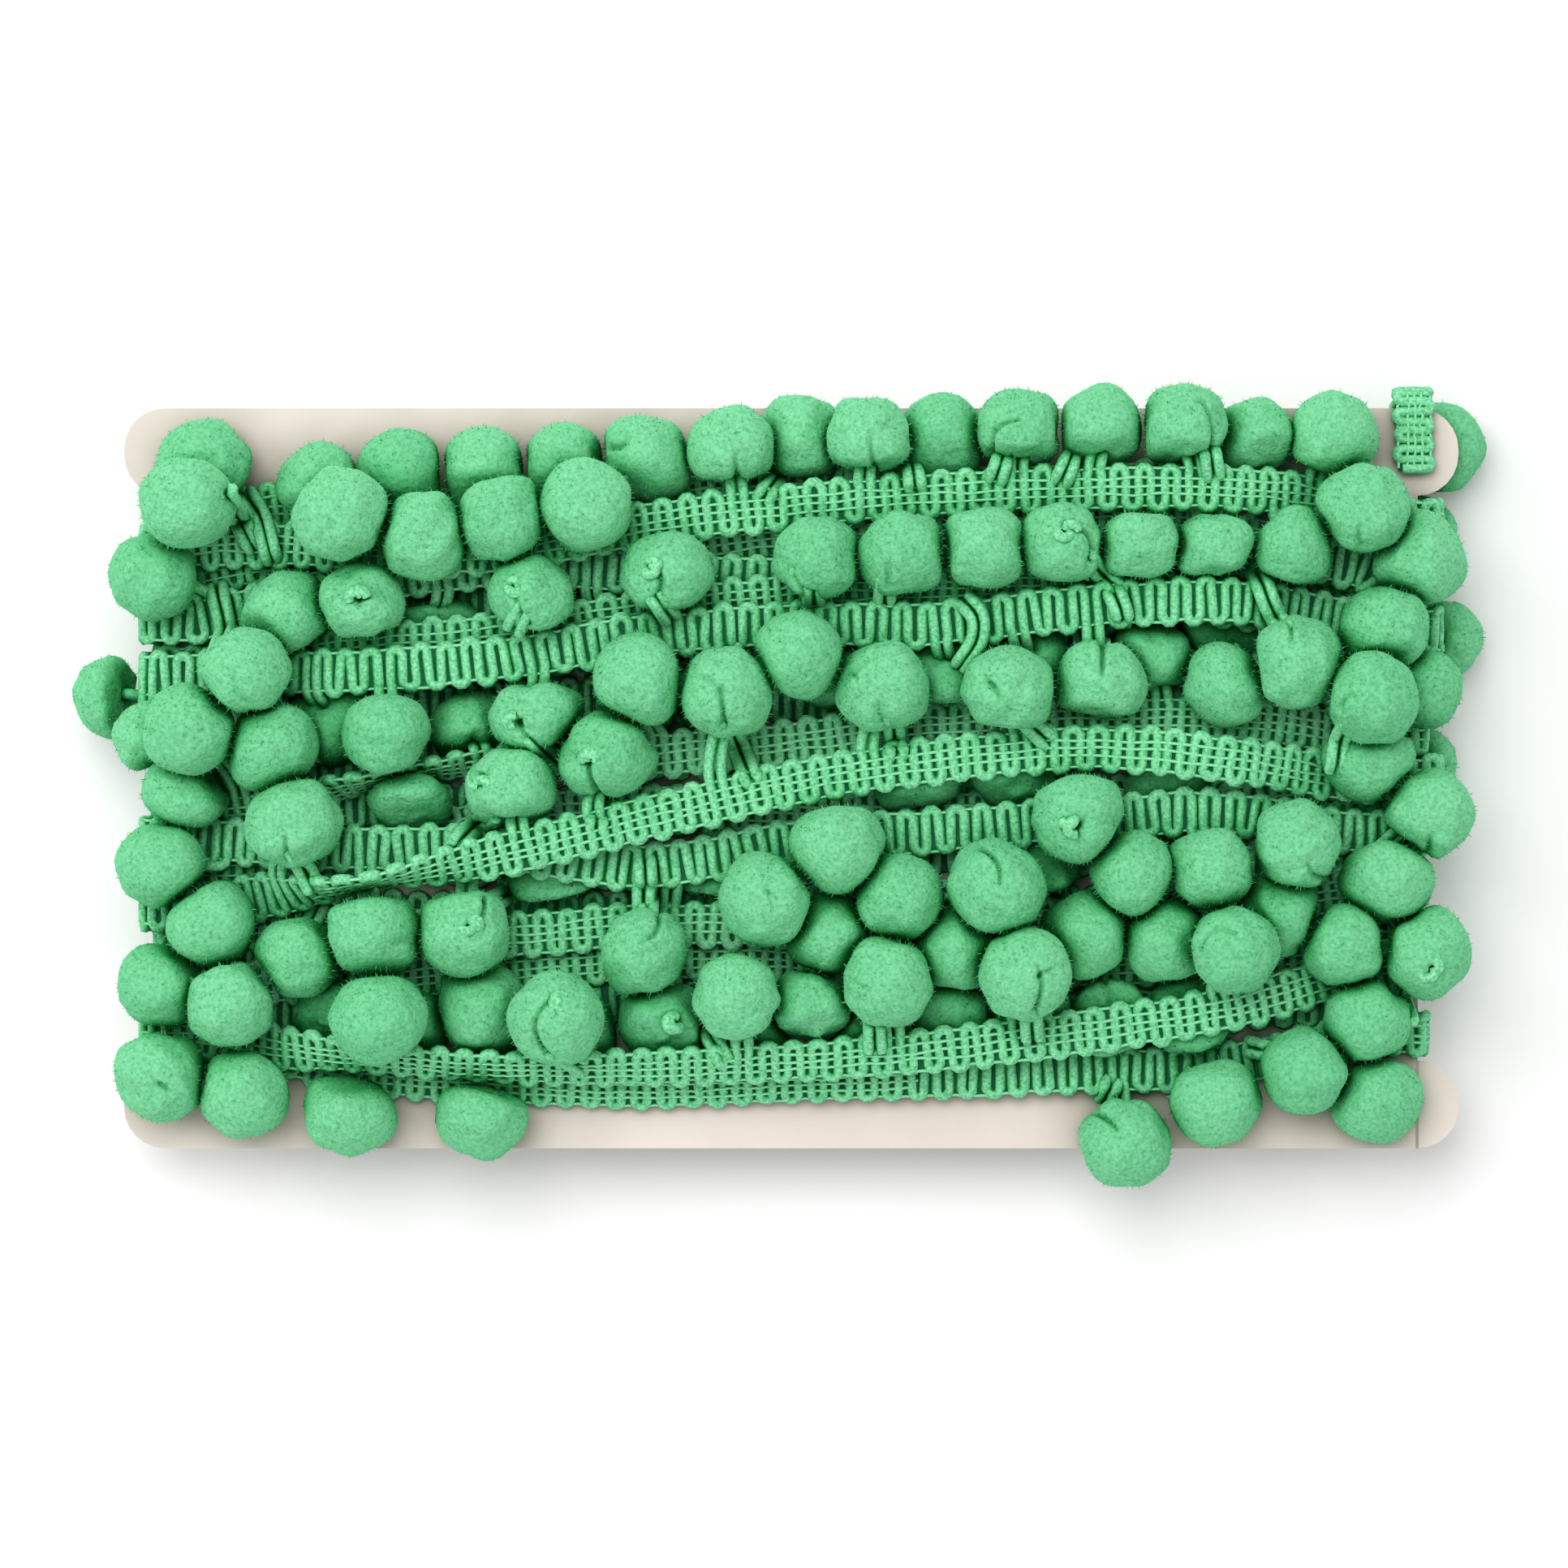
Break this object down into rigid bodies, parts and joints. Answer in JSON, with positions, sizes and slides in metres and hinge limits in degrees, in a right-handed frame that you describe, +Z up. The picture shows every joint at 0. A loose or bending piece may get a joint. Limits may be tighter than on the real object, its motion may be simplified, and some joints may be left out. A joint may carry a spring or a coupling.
{
  "type": "pompom fringe trim on card",
  "caption": "Pompom ball fringe: narrow gimp braid with looped felt balls hanging from its edge, wound round a flat card with recessed ends.",
  "frame": {"origin": "on the table, under the middle of the whole piece as it lies on its back", "axes": "+X along the card's length, +Y up its face as it is looked at, +Z up from the table"},
  "size_m": [0.243, 0.1363, 0.0438],
  "materials": {
    "green_felt": "green polyester felt and cord, matt",
    "white_card": "off-white paperboard, matt"
  },
  "bodies": {
    "root": {"card": "white_card", "trim_tail": "green_felt", "turn_01": "green_felt", "turn_02": "green_felt", "turn_03": "green_felt", "turn_04": "green_felt", "turn_05": "green_felt", "turn_06": "green_felt", "turn_07": "green_felt", "turn_08": "green_felt", "turn_09": "green_felt", "turn_10": "green_felt", "turn_11": "green_felt", "turn_12": "green_felt", "turn_13": "green_felt", "turn_14": "green_felt", "back_01": "green_felt", "back_02": "green_felt", "back_03": "green_felt", "back_04": "green_felt", "back_05": "green_felt", "back_06": "green_felt", "back_07": "green_felt", "back_08": "green_felt"}
  },
  "joints": []
}
